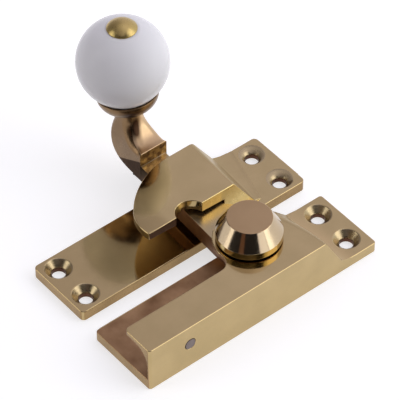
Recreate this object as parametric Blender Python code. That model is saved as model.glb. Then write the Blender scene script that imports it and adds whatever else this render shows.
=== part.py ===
"""A hook-plate window sash lock: two polished brass castings, a swinging lever and a ceramic ball knob.

Metres, +Z up. The origin is the centre of the lever body's flat underside. +X points to the end of the
body with the two screw holes and +Y to the hook plate. The lever is drawn locked, its arm under the hook.
"""

import math

import bmesh
import bpy
from mathutils import Vector

# Clearances
SEAT_GAP = 0.0001  # between faces that bear on each other
PIVOT_CLEARANCE = 0.00008  # lever bore round the pivot bolt, on the radius
BOLT_CLEARANCE = 0.00015  # other holes round their bolts, on the radius
HOOK_CLEARANCE = 0.0006  # arm's top to the hook's underside, at the pillar
PILLAR_CLEARANCE = 0.0004  # arm's right side to the pillar
HEEL_CLEARANCE = 0.0004  # heel's round side to the wall of the block
FLANGE_CLEARANCE = 0.0007  # open stem to the back edge of the flange
BALL_CLEARANCE = 0.00015  # ball to the hollow of the cup

# Lever body
CHANNEL_LENGTH = 0.0414  # open left end to the pivot
BLOCK_LENGTH = 0.0127  # pivot to the top of the ramp, at the front
RAMP_RUN = 0.0052  # top of the ramp to its foot, at the front
RAMP_SWEEP = 0.0050  # how far the ramp's top edge bends left on its way to the back
RAMP_ROUND_FRONT = 0.0006  # rounding of the ramp's top, at the front
RAMP_ROUND_BACK = 0.0040  # rounding of the ramp's top, at the back
TOE_FRONT = 0.0012  # height of the crease at the ramp's foot, at the front
TOE_BACK = 0.0003  # height of the crease at the ramp's foot, at the back
TOE_RUN = 0.0050  # the hollow that eases the ramp into the pad
PAD_LENGTH = 0.0114  # foot of the ramp to the right end
BODY_DEPTH = 0.0207
BODY_CORNER = 0.0008
BASE_THICKNESS = 0.0030
ROOF_THICKNESS = 0.0014
FRONT_WALL = 0.0010
CHANNEL_RADIUS = 0.0042  # inside corner between front wall and roof
PIVOT_FROM_BACK = 0.00725
LOBE_PAST_BACK = 0.00175  # how far the circle of the roof's lobe passes the back edge, which cuts it off
LOBE_FILLET = 0.0032  # inside curve between the flange and the lobe
FLANGE_CORNER = 0.0012  # round corner of the flange at the left end
PAD_HOLES_FROM_RIGHT = 0.0049
PAD_HOLES_FROM_BACK = 0.0046
PAD_HOLE_SPACING = 0.0106

# Hook plate
PLATE_LENGTH = 0.0700
PLATE_DEPTH = 0.0195
PLATE_THICKNESS = 0.0031
PLATE_CORNER = 0.0006
PLATE_GAP = 0.00615  # between the two plates
PLATE_SHIFT = 0.00065  # plate's centre to the right of the body's centre
PLATE_HOLES_FROM_LEFT = 0.00445
PLATE_HOLES_FROM_RIGHT = 0.0046
PLATE_HOLES_FROM_FRONT = 0.00455
PLATE_HOLE_SPACING = 0.0107
PILLAR_INSET = 0.00205  # plate's front edge to the pillar's front face
PILLAR_TOP_FRONT = 0.0030  # arm's side to the top of the pillar's ramp, at the front
PILLAR_TOP_BACK = 0.0042  # arm's side to the top of the pillar's ramp, at the back
PILLAR_FOOT_FRONT = 0.0100  # arm's side to the ramp's foot, at the front
PILLAR_FOOT_BACK = 0.0106  # arm's side to the ramp's foot, at the back
PILLAR_ROUND_FRONT = 0.0006  # rounding of the ramp's top, at the front
PILLAR_ROUND_BACK = 0.0020  # rounding of the ramp's top, at the back
PILLAR_TOE_FRONT = 0.0004  # height of the crease at the ramp's foot, at the front
PILLAR_TOE_BACK = 0.0016  # height of the crease at the ramp's foot, at the back
PILLAR_TOE_RUN_FRONT = 0.0020  # the hollow that eases the ramp into the plate, at the front
PILLAR_TOE_RUN_BACK = 0.0085  # the hollow that eases the ramp into the plate, at the back
HOOK_ROOT_THICKNESS = 0.0035
HOOK_TIP_THICKNESS = 0.0022
HOOK_BACK_LENGTH = 0.0031  # straight back edge, left of the pillar's side
HOOK_CURVE_RADIUS = 0.0232  # the edge that draws the sashes together
HOOK_NOSE_RADIUS = 0.0102
HOOK_NOSE_ANGLE = 142.0  # degrees round the large curve where the nose begins
NOTCH_FROM_PILLAR = 0.0109
NOTCH_RADIUS = 0.0040
NOTCH_DEPTH = 0.00315

# Both castings
SCREW_BORE_RADIUS = 0.00175
COUNTERSINK_RADIUS = 0.0034

# Lever
HUB_FOOT = 0.0013  # hub below the arm
ARM_THICKNESS = 0.0050
HUB_RISE = 0.0014  # hub above the arm
HUB_RADIUS = 0.0052
HEEL_RADIUS = 0.0070  # round right side of the heel
HEEL_FRONT = 0.0062  # pivot to the flat that the spring holds shut
HEEL_LEFT = 0.0053  # pivot to the flat that the spring holds open
HEEL_CORNER = 0.0010
ARM_WAIST = 0.0064  # pivot to where the arm's left side starts to taper
ARM_RIGHT = 0.0046  # right side of the arm, beside the pillar
FLARE_RUN = 0.0024  # slanted step from the heel's width to the arm's
STEM_WIDTH = 0.0084
STEM_SHIFT = 0.0008  # stem's centre to the right of the pivot
STEM_BEHIND_PLATE = 0.0047  # plate's back edge to the stem's front face
STEM_STEP = 0.0040  # height of the stem's front face above the arm
ARM_END_INSET = 0.00004  # arm's sides inside the stem's sides
ELBOW_RADIUS = 0.0058  # inside of the bend, at the front face
ELBOW_CORNER = 0.00255  # how far the outside of the bend stands out
ELBOW_EDGE = 0.00045  # corner radius of the stem's section at the front face
ELBOW_WIDE_SHARE = 0.32  # share of the bend that keeps the stem's full width
ELBOW_SQUARE_SHARE = 0.5  # share of the bend that keeps its outer corners square
ELBOW_ROUNDING = 1.5  # power by which the outer corners then turn round
HOLLOW_SQUARE_SHARE = 0.02  # share of the bend that keeps the corners of its hollow square
HOLLOW_ROUNDING = 0.45  # power by which the corners of the hollow then turn round
ELBOW_LEAST_FLAT = 0.00002  # flat left between two round corners of a section
NECK_RADIUS = 0.0030
NECK_BACK = 0.0091  # stem's front face to the middle of the neck
NECK_LENGTH = 0.00035
NECK_SINK = 0.0019  # neck inside the metal of the cup
CUP_LEAN = 9.4  # degrees, top of the cup's axis towards +Y
CUP_RADIUS = 0.0079
CUP_WALL = 0.0005
CUP_DEPTH = 0.0057  # lip to the bottom of the cup's outside

# Knob
BALL_RADIUS = 0.0116
BALL_TOP_FLAT = 0.0041
BALL_BOTTOM_FLAT = 0.0040
KNOB_BOLT_RADIUS = 0.0016
KNOB_HEAD_RADIUS = 0.0038
KNOB_HEAD_EDGE = 0.0002
KNOB_HEAD_DOME = 0.0018
KNOB_THREAD = 0.0014  # bolt below the seat
KNOB_WASHER_THICKNESS = 0.0011
KNOB_WASHER_RADIUS = 0.0041

# Pivot
PIVOT_RADIUS = 0.0025
PIVOT_HEAD_RADIUS = 0.0040
PIVOT_HEAD_SINK = 0.0003  # head below the body's underside
PIVOT_SLOT_WIDTH = 0.0010
PIVOT_SLOT_DEPTH = 0.0007
LEVER_WASHER_THICKNESS = 0.0005
LEVER_WASHER_RADIUS = 0.0050
CAP_WASHER_THICKNESS = 0.0003
CAP_WASHER_RADIUS = 0.0066
CAP_RADIUS = 0.0082
CAP_RIM = 0.00195
CAP_TOP_RADIUS = 0.0056
CAP_CONE = 0.00455  # height above the rim
CAP_CROWN = 0.0020  # metal above the end of the bolt

# Spring
SPRING_THICKNESS = 0.00045
SPRING_WIDTH = 0.0024
SPRING_TAIL = 0.0050  # spring left of the rivet
SPRING_FLAT = 0.0060  # spring right of the rivet that lies on the wall
SPRING_REACH = 0.0050  # spring past the pivot
SPRING_BOW = 0.0060  # left of the pivot, where the spring reaches the heel
SPRING_BEARING = 0.0020  # right of the pivot, where the spring leaves the heel
SPRING_CURL = 0.0006  # end turned away from the heel
RIVET_FROM_LEFT = 0.0123
RIVET_HEIGHT = 0.0076
RIVET_RADIUS = 0.0014
RIVET_SHANK_RADIUS = 0.0009
RIVET_HEAD_RADIUS = 0.0015
RIVET_HEAD = 0.0007

# Facets
ROUND_STEPS = 40
HOLE_STEPS = 32
BODY_STEPS = 16
BALL_STEPS = 18
ARC_STEPS = 6
BEND_STEPS = 20
SHARP_ANGLE = 30.0  # degrees between faces, above which an edge is shaded sharp
OVERRUN = 0.0010  # how far a cutter passes the face it opens
BROW_LIFT = 0.00002  # how far the rounding of the pillar's ramp starts above the flat top

# Places worked out from the sizes above
LEFT_END = -(CHANNEL_LENGTH + BLOCK_LENGTH + RAMP_RUN + PAD_LENGTH) / 2
RIGHT_END = -LEFT_END
FRONT = -BODY_DEPTH / 2
BACK = BODY_DEPTH / 2
PIVOT_X = LEFT_END + CHANNEL_LENGTH
PIVOT_Y = BACK - PIVOT_FROM_BACK
LOBE_RADIUS = PIVOT_FROM_BACK + LOBE_PAST_BACK
RAMP_TOP = PIVOT_X + BLOCK_LENGTH
RAMP_FOOT = RAMP_TOP + RAMP_RUN
CHANNEL_END = PIVOT_X + HEEL_RADIUS + HEEL_CLEARANCE
WALL_INSIDE = FRONT + FRONT_WALL
STEM_LEFT = STEM_WIDTH / 2 - STEM_SHIFT
FLANGE_BACK = PIVOT_Y - STEM_LEFT - FLANGE_CLEARANCE

WASHER_SPACE = LEVER_WASHER_THICKNESS + 2 * SEAT_GAP
HUB_BOTTOM = BASE_THICKNESS + WASHER_SPACE
ARM_BOTTOM = HUB_BOTTOM + HUB_FOOT
ARM_TOP = ARM_BOTTOM + ARM_THICKNESS
HUB_TOP = ARM_TOP + HUB_RISE
ROOF_UNDERSIDE = HUB_TOP + WASHER_SPACE
ROOF_TOP = ROOF_UNDERSIDE + ROOF_THICKNESS
CAP_BOTTOM = ROOF_TOP + CAP_WASHER_THICKNESS + 2 * SEAT_GAP
CAP_TOP = CAP_BOTTOM + CAP_RIM + CAP_CONE
PIVOT_TOP = CAP_TOP - CAP_CROWN

PLATE_LEFT = PLATE_SHIFT - PLATE_LENGTH / 2
PLATE_RIGHT = PLATE_SHIFT + PLATE_LENGTH / 2
PLATE_FRONT = BACK + PLATE_GAP
PLATE_BACK = PLATE_FRONT + PLATE_DEPTH
PILLAR_LEFT = PIVOT_X + ARM_RIGHT + PILLAR_CLEARANCE
PILLAR_FRONT = PLATE_FRONT + PILLAR_INSET
HOOK_TOP = ARM_TOP + HOOK_CLEARANCE + HOOK_ROOT_THICKNESS

# Lever places are measured from the pivot
FLARE_END = PILLAR_FRONT - PIVOT_Y - PILLAR_CLEARANCE
STEM_FRONT = PLATE_BACK - PIVOT_Y + STEM_BEHIND_PLATE
SHOULDER = ARM_TOP + STEM_STEP
ELBOW_CENTRE = SHOULDER + ELBOW_RADIUS
HOLLOW_RADIUS = BALL_RADIUS + BALL_CLEARANCE
LIP_DROP = math.sqrt(HOLLOW_RADIUS**2 - (CUP_RADIUS - CUP_WALL) ** 2)
LEAN = math.radians(CUP_LEAN)
CUP_AXIS = Vector((0.0, math.sin(LEAN), math.cos(LEAN)))
NECK_FOOT = Vector((STEM_SHIFT, STEM_FRONT + NECK_BACK, ELBOW_CENTRE))
BALL_CENTRE = NECK_FOOT + CUP_AXIS * (NECK_LENGTH + CUP_DEPTH + LIP_DROP)
BALL_TOP = math.sqrt(BALL_RADIUS**2 - BALL_TOP_FLAT**2)
BALL_BOTTOM = -math.sqrt(BALL_RADIUS**2 - BALL_BOTTOM_FLAT**2)
KNOB_SEAT = BALL_BOTTOM - KNOB_WASHER_THICKNESS - 2 * SEAT_GAP


def clear_scene():
    for obj in list(bpy.data.objects):
        bpy.data.objects.remove(obj)


def make_material(name, colour, metallic, roughness):
    material = bpy.data.materials.new(name)
    material.use_nodes = True
    shader = material.node_tree.nodes["Principled BSDF"]
    shader.inputs["Base Color"].default_value = (*colour, 1.0)
    shader.inputs["Metallic"].default_value = metallic
    shader.inputs["Roughness"].default_value = roughness
    return material


def add_mesh(name, points, faces, material=None, parent=None):
    """One closed object with its faces pointing out. Without a material it is a helper and isn't rendered."""
    mesh = bpy.data.meshes.new(name)
    mesh.from_pydata(points, [], faces)
    shape = bmesh.new()
    shape.from_mesh(mesh)
    bmesh.ops.recalc_face_normals(shape, faces=shape.faces)
    shape.to_mesh(mesh)
    shape.free()
    mesh.shade_smooth()
    mesh.set_sharp_from_angle(angle=math.radians(SHARP_ANGLE))
    obj = bpy.data.objects.new(name, mesh)
    bpy.context.scene.collection.objects.link(obj)
    obj.parent = parent
    if material:
        mesh.materials.append(material)
    else:
        obj.hide_render = True
        obj.display_type = "WIRE"
    return obj


def boolean(target, helper, operation):
    modifier = target.modifiers.new(f"{operation.lower()} {helper.name}", "BOOLEAN")
    modifier.operation = operation
    modifier.solver = "EXACT"
    modifier.object = helper


def ease(share):
    """A share from 0 to 1 that starts and ends gently."""
    return share * share * (3 - 2 * share)


def blend(share, start, end):
    return start + (end - start) * share


def arc(centre, radius, start, end, steps=ARC_STEPS):
    """Points from one angle to the other, in degrees, both ends included."""
    points = []
    for step in range(steps + 1):
        angle = math.radians(start + (end - start) * step / steps)
        points.append((centre[0] + radius * math.cos(angle), centre[1] + radius * math.sin(angle)))
    return points


def rounded_rectangle(left, right, low, high, low_radius, high_radius):
    """A rectangle whose two low corners and two high corners have their own radius."""
    points = []
    corners = ((right, low, -90), (right, high, 0), (left, high, 90), (left, low, 180))
    for x, y, start in corners:
        radius = high_radius if y == high else low_radius
        centre_x = x - radius if x == right else x + radius
        centre_y = y - radius if y == high else y + radius
        points += arc((centre_x, centre_y), radius, start, start + 90)
    return points


def skin(name, rings, **options):
    """A closed skin over rings of equally many points, with a flat cap at each end."""
    count = len(rings[0])
    points = [point for ring in rings for point in ring]
    last = count * (len(rings) - 1)
    faces = [list(range(count)), [last + i for i in range(count)]]
    for start in range(0, last, count):
        for i in range(count):
            following = (i + 1) % count
            faces.append([start + i, start + following, start + count + following, start + count + i])
    return add_mesh(name, points, faces, **options)


def prism(name, outline, bottom, top, **options):
    """A plan outline drawn up from one height to another."""
    rings = [[(x, y, z) for x, y in outline] for z in (bottom, top)]
    return skin(name, rings, **options)


def side_prism(name, outline, start, end, **options):
    """An outline in X and Z drawn along Y."""
    rings = [[(x, y, z) for x, z in outline] for y in (start, end)]
    return skin(name, rings, **options)


def turned(name, profile, origin, axis=(0, 0, 1), steps=ROUND_STEPS, ring=False, **options):
    """A profile of (radius, height) pairs turned about an axis. A ring's profile closes on itself."""
    turn = Vector((0, 0, 1)).rotation_difference(Vector(axis)).to_matrix()
    points = []
    rows = []
    for radius, height in profile:
        count = steps if radius > 0 else 1
        rows.append(list(range(len(points), len(points) + count)))
        for step in range(count):
            angle = 2 * math.pi * step / steps
            local = Vector((radius * math.cos(angle), radius * math.sin(angle), height))
            points.append(Vector(origin) + turn @ local)
    faces = []
    pairs = list(zip(rows, rows[1:]))
    if ring:
        pairs.append((rows[-1], rows[0]))
    for low, high in pairs:
        for step in range(steps):
            following = (step + 1) % steps
            corners = [low[step % len(low)], low[following % len(low)]]
            corners += [high[following % len(high)], high[step % len(high)]]
            faces.append(list(dict.fromkeys(corners)))
    return add_mesh(name, points, faces, **options)


def washer(name, inner, outer, bottom, thickness, centre, **options):
    profile = [(inner, 0), (outer, 0), (outer, thickness), (inner, thickness)]
    return turned(name, profile, (*centre, bottom), ring=True, **options)


def countersink(name, x, y, surface):
    """Cutter for a wood screw's bore, with a 90 degree countersink at the surface."""
    mouth = COUNTERSINK_RADIUS + OVERRUN
    profile = [
        (0, -surface - OVERRUN),
        (SCREW_BORE_RADIUS, -surface - OVERRUN),
        (SCREW_BORE_RADIUS, SCREW_BORE_RADIUS - COUNTERSINK_RADIUS),
        (mouth, OVERRUN),
        (0, OVERRUN),
    ]
    return turned(name, profile, (x, y, surface), steps=HOLE_STEPS)


def rounded_brow(x, z, crease, radius):
    """The arc that rounds the corner between a flat top, on the left, and the slope to the crease."""
    fall = math.atan2(z - crease[1], crease[0] - x)
    start = x - radius * math.tan(fall / 2)
    return arc((start, z - radius), radius, 90, 90 - math.degrees(fall))


def ramp(top_x, top_z, foot_x, plate_z, rise, run, radius, sink=0.0):
    """Side view of a ramp, from its rounded top down to its crease and along the toe to the plate."""
    points = rounded_brow(top_x, top_z, (foot_x, plate_z + rise), radius)
    for step in range(ARC_STEPS + 1):
        share = step / ARC_STEPS
        points.append((foot_x + run * share, plate_z + rise * (1 - share) ** 2 - sink * share))
    return points


def body_section(y):
    """The lever body's outline in X and Z at one depth, before the channel and holes are cut."""
    edge = min(y - FRONT, BACK - y)
    inset = 0.0
    if edge < BODY_CORNER:
        inset = BODY_CORNER - math.sqrt(BODY_CORNER**2 - (BODY_CORNER - edge) ** 2)
    share = (y - FRONT) / BODY_DEPTH
    top_edge = RAMP_TOP - RAMP_SWEEP * share**2
    rise = blend(share, TOE_FRONT, TOE_BACK)
    radius = blend(share, RAMP_ROUND_FRONT, RAMP_ROUND_BACK)
    slope = ramp(top_edge, ROOF_TOP, RAMP_FOOT, BASE_THICKNESS, rise, TOE_RUN, radius)
    left = LEFT_END + inset
    right = RIGHT_END - inset
    return [(left, 0), (left, ROOF_TOP), *slope, (right, BASE_THICKNESS), (right, 0)]


def lever_body(brass):
    corner = [BODY_CORNER * (1 - math.cos(math.pi / 2 * step / ARC_STEPS)) for step in range(ARC_STEPS + 1)]
    middle = BODY_DEPTH - 2 * BODY_CORNER
    depths = [FRONT + c for c in corner]
    depths += [FRONT + BODY_CORNER + middle * step / BODY_STEPS for step in range(1, BODY_STEPS)]
    depths += [BACK - c for c in reversed(corner)]
    rings = [[(x, y, z) for x, z in body_section(y)] for y in depths]
    body = skin("lever_body", rings, material=brass)

    # The channel under the roof, open at the left end and the back
    round_centre = (WALL_INSIDE + CHANNEL_RADIUS, ROOF_UNDERSIDE - CHANNEL_RADIUS)
    section = [(WALL_INSIDE, BASE_THICKNESS), (BACK + OVERRUN, BASE_THICKNESS)]
    section += [(BACK + OVERRUN, ROOF_UNDERSIDE)]
    section += arc(round_centre, CHANNEL_RADIUS, 90, 180)
    rings = [[(x, y, z) for y, z in section] for x in (LEFT_END - OVERRUN, CHANNEL_END)]
    boolean(body, skin("channel_cutter", rings), "DIFFERENCE")

    # The roof is cut back to a flange along the channel and a lobe round the pivot
    fillet_y = FLANGE_BACK + LOBE_FILLET
    reach = LOBE_RADIUS + LOBE_FILLET
    rise = fillet_y - PIVOT_Y
    fillet_x = PIVOT_X - math.sqrt(reach**2 - rise**2)
    join = math.degrees(math.asin(rise / reach))
    past_back = math.degrees(math.asin((PIVOT_FROM_BACK + LOBE_PAST_BACK / 2) / LOBE_RADIUS))
    corner_x = LEFT_END + FLANGE_CORNER
    corner_y = FLANGE_BACK - FLANGE_CORNER
    outline = [(LEFT_END - OVERRUN, BACK + LOBE_PAST_BACK), (LEFT_END - OVERRUN, corner_y)]
    outline += arc((corner_x, corner_y), FLANGE_CORNER, 180, 90)
    outline += arc((fillet_x, fillet_y), LOBE_FILLET, -90, -join)
    outline += arc((PIVOT_X, PIVOT_Y), LOBE_RADIUS, 180 - join, 180 - past_back, 2 * ARC_STEPS)[1:]
    outline += [(outline[-1][0], BACK + LOBE_PAST_BACK)]
    middle_height = (BASE_THICKNESS + ROOF_UNDERSIDE) / 2
    boolean(body, prism("roof_cutter", outline, middle_height, ROOF_TOP + OVERRUN), "DIFFERENCE")

    # Pivot hole, countersunk from below
    hole = PIVOT_RADIUS + BOLT_CLEARANCE
    head = PIVOT_HEAD_RADIUS + BOLT_CLEARANCE
    profile = [
        (0, -OVERRUN),
        (head, -OVERRUN),
        (head, PIVOT_HEAD_SINK),
        (hole, PIVOT_HEAD_SINK + head - hole),
        (hole, ROOF_TOP + OVERRUN),
        (0, ROOF_TOP + OVERRUN),
    ]
    boolean(body, turned("pivot_hole_cutter", profile, (PIVOT_X, PIVOT_Y, 0)), "DIFFERENCE")

    hole = RIVET_RADIUS + BOLT_CLEARANCE
    profile = [(0, 0), (hole, 0), (hole, FRONT_WALL + 2 * OVERRUN), (0, FRONT_WALL + 2 * OVERRUN)]
    place = (LEFT_END + RIVET_FROM_LEFT, FRONT - OVERRUN, RIVET_HEIGHT)
    cutter = turned("rivet_hole_cutter", profile, place, axis=(0, 1, 0), steps=HOLE_STEPS)
    boolean(body, cutter, "DIFFERENCE")

    for number in range(2):
        y = BACK - PAD_HOLES_FROM_BACK - number * PAD_HOLE_SPACING
        cutter = countersink(f"pad_hole_cutter_{number}", RIGHT_END - PAD_HOLES_FROM_RIGHT, y, BASE_THICKNESS)
        boolean(body, cutter, "DIFFERENCE")
    return body


def hook_outline(right):
    """Plan of the hook and the pillar behind it, as far as the toe of the ramp."""
    curve_centre = Vector((PILLAR_LEFT - HOOK_BACK_LENGTH, PLATE_BACK - HOOK_CURVE_RADIUS))
    nose = math.radians(HOOK_NOSE_ANGLE)
    inward = HOOK_CURVE_RADIUS - HOOK_NOSE_RADIUS
    nose_centre = curve_centre + inward * Vector((math.cos(nose), math.sin(nose)))
    nose_end = 180 + math.degrees(math.asin((nose_centre.y - PILLAR_FRONT) / HOOK_NOSE_RADIUS))
    notch_centre = (PILLAR_LEFT - NOTCH_FROM_PILLAR, PILLAR_FRONT + NOTCH_DEPTH - NOTCH_RADIUS)
    notch_end = math.degrees(math.asin((NOTCH_RADIUS - NOTCH_DEPTH) / NOTCH_RADIUS))
    outline = [(right, PILLAR_FRONT), (right, PLATE_BACK)]
    outline += arc(curve_centre, HOOK_CURVE_RADIUS, 90, HOOK_NOSE_ANGLE, 2 * ARC_STEPS)
    outline += arc(nose_centre, HOOK_NOSE_RADIUS, HOOK_NOSE_ANGLE, nose_end, 2 * ARC_STEPS)[1:]
    outline += arc(notch_centre, NOTCH_RADIUS, 180 - notch_end, notch_end, 2 * ARC_STEPS)
    return outline


def hook_plate(brass):
    outline = rounded_rectangle(PLATE_LEFT, PLATE_RIGHT, PLATE_FRONT, PLATE_BACK, PLATE_CORNER, PLATE_CORNER)
    plate = prism("hook_plate", outline, 0, PLATE_THICKNESS, material=brass)

    toe_end = PILLAR_LEFT + PILLAR_FOOT_BACK + PILLAR_TOE_RUN_BACK
    plan = hook_outline(toe_end)
    root = PLATE_THICKNESS / 2
    block = prism("hook_block", plan, root, HOOK_TOP)
    tip = min(x for x, _ in plan)

    # The space under the hook, whose underside rises towards the tip
    slope = (HOOK_ROOT_THICKNESS - HOOK_TIP_THICKNESS) / (PILLAR_LEFT - tip)
    past_tip = tip - OVERRUN
    underside = HOOK_TOP - HOOK_ROOT_THICKNESS
    section = [(past_tip, 0), (PILLAR_LEFT, 0), (PILLAR_LEFT, underside)]
    section += [(past_tip, underside + slope * (PILLAR_LEFT - past_tip))]
    cutter = side_prism("hook_space_cutter", section, PLATE_FRONT - OVERRUN, PLATE_BACK + OVERRUN)
    boolean(block, cutter, "DIFFERENCE")

    # The sloped right side of the pillar
    above = HOOK_TOP + OVERRUN
    rings = []
    for step in range(ARC_STEPS + 1):
        share = step / ARC_STEPS
        top = PILLAR_LEFT + blend(share, PILLAR_TOP_FRONT, PILLAR_TOP_BACK)
        foot = PILLAR_LEFT + blend(share, PILLAR_FOOT_FRONT, PILLAR_FOOT_BACK)
        brow = HOOK_TOP + BROW_LIFT
        rise = blend(share, PILLAR_TOE_FRONT, PILLAR_TOE_BACK)
        run = blend(share, PILLAR_TOE_RUN_FRONT, PILLAR_TOE_RUN_BACK)
        radius = blend(share, PILLAR_ROUND_FRONT, PILLAR_ROUND_BACK)
        section = ramp(top, brow, foot, PLATE_THICKNESS, rise, run, radius, sink=SEAT_GAP)
        section += [(toe_end + OVERRUN, section[-1][1]), (toe_end + OVERRUN, above), (section[0][0], above)]
        y = blend(share, PLATE_FRONT - OVERRUN, PLATE_BACK + OVERRUN)
        rings.append([(x, y, z) for x, z in section])
    cutter = skin("pillar_ramp_cutter", rings)
    boolean(block, cutter, "DIFFERENCE")
    boolean(plate, block, "UNION")

    columns = {"left": PLATE_LEFT + PLATE_HOLES_FROM_LEFT, "right": PLATE_RIGHT - PLATE_HOLES_FROM_RIGHT}
    for side, x in columns.items():
        for number in range(2):
            y = PLATE_FRONT + PLATE_HOLES_FROM_FRONT + number * PLATE_HOLE_SPACING
            cutter = countersink(f"plate_hole_cutter_{side}_{number}", x, y, PLATE_THICKNESS)
            boolean(plate, cutter, "DIFFERENCE")
    return plate


def arm_outline():
    """Plan of the heel and arm, round the pivot."""
    front = -HEEL_FRONT
    left = -HEEL_LEFT
    meets_front = -math.degrees(math.asin(HEEL_FRONT / HEEL_RADIUS))
    end = STEM_FRONT + NECK_RADIUS
    end_left = -STEM_LEFT + ARM_END_INSET
    end_right = min(ARM_RIGHT, STEM_WIDTH / 2 + STEM_SHIFT - ARM_END_INSET)
    corner = (left + HEEL_CORNER, front + HEEL_CORNER)
    outline = [(HEEL_RADIUS, FLARE_END - FLARE_RUN), (ARM_RIGHT, FLARE_END)]
    outline += [(end_right, STEM_FRONT), (end_right, end), (end_left, end), (end_left, STEM_FRONT)]
    outline += [(left, ARM_WAIST)]
    outline += arc(corner, HEEL_CORNER, 180, 270)
    outline += arc((0, 0), HEEL_RADIUS, meets_front, 0, 2 * ARC_STEPS)
    return outline


def elbow_corner(share, square_share, power):
    """Corner radius of the stem's section at a share of the bend, from nearly square to the round neck."""
    rounding = (max(0.0, share - square_share) / (1 - square_share)) ** power
    return blend(rounding, ELBOW_EDGE, NECK_RADIUS)


def elbow_rings():
    """Sections of the cranked stem, from its upright front face round the bend and up into the cup."""
    rings = []
    for step in range(BEND_STEPS + 1):
        share = step / BEND_STEPS
        angle = math.pi / 2 * share
        inside = blend(share, ELBOW_RADIUS, NECK_BACK - NECK_RADIUS)
        start_depth = ELBOW_CENTRE - ARM_BOTTOM + ARM_END_INSET
        outside = blend(share, start_depth, NECK_BACK + NECK_RADIUS)
        outside += ELBOW_CORNER * math.sin(2 * angle) ** 2
        narrowing = ease(max(0.0, share - ELBOW_WIDE_SHARE) / (1 - ELBOW_WIDE_SHARE))
        half_width = blend(narrowing, STEM_WIDTH / 2, NECK_RADIUS)
        most = min(half_width, (outside - inside) / 2) - ELBOW_LEAST_FLAT
        hollow_corner = min(elbow_corner(share, HOLLOW_SQUARE_SHARE, HOLLOW_ROUNDING), most)
        outer_corner = min(elbow_corner(share, ELBOW_SQUARE_SHARE, ELBOW_ROUNDING), most)
        section = rounded_rectangle(-half_width, half_width, inside, outside, hollow_corner, outer_corner)
        rings.append(
            [
                (STEM_SHIFT + x, STEM_FRONT + r * math.sin(angle), ELBOW_CENTRE - r * math.cos(angle))
                for x, r in section
            ]
        )
    into_cup = CUP_AXIS * (NECK_LENGTH + NECK_SINK)
    rings.append([Vector(point) + into_cup for point in rings[-1]])
    return rings


def cup_profile():
    bottom = -LIP_DROP - CUP_DEPTH
    profile = [(0, bottom)]
    for step in range(1, 2 * ARC_STEPS + 1):
        angle = math.pi / 2 * step / (2 * ARC_STEPS)
        profile.append((CUP_RADIUS * math.sin(angle), -LIP_DROP - CUP_DEPTH * math.cos(angle)))
    profile.append((0, -LIP_DROP))
    return profile


def lever_arm(brass, pivot):
    arm = prism("lever_arm", arm_outline(), ARM_BOTTOM, ARM_TOP, material=brass, parent=pivot)
    hub = [(0, HUB_BOTTOM), (HUB_RADIUS, HUB_BOTTOM), (HUB_RADIUS, HUB_TOP), (0, HUB_TOP)]
    boolean(arm, turned("lever_hub", hub, (0, 0, 0), parent=pivot), "UNION")
    boolean(arm, skin("lever_elbow", elbow_rings(), parent=pivot), "UNION")
    boolean(arm, turned("lever_cup", cup_profile(), BALL_CENTRE, axis=CUP_AXIS, parent=pivot), "UNION")

    # The hollow of the cup follows the ball, with a flat seat for the washer and a hole for the bolt
    hole = KNOB_BOLT_RADIUS + BOLT_CLEARANCE
    seat = KNOB_WASHER_RADIUS + BOLT_CLEARANCE
    hole_end = KNOB_SEAT - KNOB_THREAD - SEAT_GAP
    profile = [(0, hole_end), (hole, hole_end), (hole, KNOB_SEAT), (seat, KNOB_SEAT)]
    seat_edge = -math.degrees(math.acos(seat / HOLLOW_RADIUS))
    profile += arc((0, 0), HOLLOW_RADIUS, seat_edge, 0, BALL_STEPS // 2)
    profile += [(HOLLOW_RADIUS, HOLLOW_RADIUS), (0, HOLLOW_RADIUS)]
    boolean(arm, turned("cup_hollow_cutter", profile, BALL_CENTRE, parent=pivot), "DIFFERENCE")
    bore = PIVOT_RADIUS + PIVOT_CLEARANCE
    profile = [(0, 0), (bore, 0), (bore, ROOF_TOP), (0, ROOF_TOP)]
    boolean(arm, turned("lever_bore_cutter", profile, (0, 0, 0), parent=pivot), "DIFFERENCE")
    return arm


def knob(ceramic, brass, fibre, pivot):
    hole = KNOB_BOLT_RADIUS + BOLT_CLEARANCE
    low = math.degrees(math.asin(BALL_BOTTOM / BALL_RADIUS))
    high = math.degrees(math.asin(BALL_TOP / BALL_RADIUS))
    profile = [(hole, BALL_BOTTOM), *arc((0, 0), BALL_RADIUS, low, high, BALL_STEPS), (hole, BALL_TOP)]
    turned("knob_ball", profile, BALL_CENTRE, ring=True, material=ceramic, parent=pivot)

    under_head = BALL_TOP + SEAT_GAP
    edge = under_head + KNOB_HEAD_EDGE
    tip = KNOB_SEAT - KNOB_THREAD
    profile = [(0, tip), (KNOB_BOLT_RADIUS, tip), (KNOB_BOLT_RADIUS, under_head)]
    profile += [(KNOB_HEAD_RADIUS, under_head)]
    sphere = (KNOB_HEAD_RADIUS**2 + KNOB_HEAD_DOME**2) / (2 * KNOB_HEAD_DOME)
    for step in range(ARC_STEPS + 1):
        angle = math.asin(KNOB_HEAD_RADIUS / sphere) * (1 - step / ARC_STEPS)
        drop = sphere * (1 - math.cos(angle))
        profile.append((sphere * math.sin(angle), edge + KNOB_HEAD_DOME - drop))
    turned("knob_bolt", profile, BALL_CENTRE, material=brass, parent=pivot)

    bottom = BALL_CENTRE.z + KNOB_SEAT + SEAT_GAP
    washer(
        "knob_seat_washer",
        hole,
        KNOB_WASHER_RADIUS,
        bottom,
        KNOB_WASHER_THICKNESS,
        BALL_CENTRE.xy,
        material=fibre,
        parent=pivot,
    )


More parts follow.
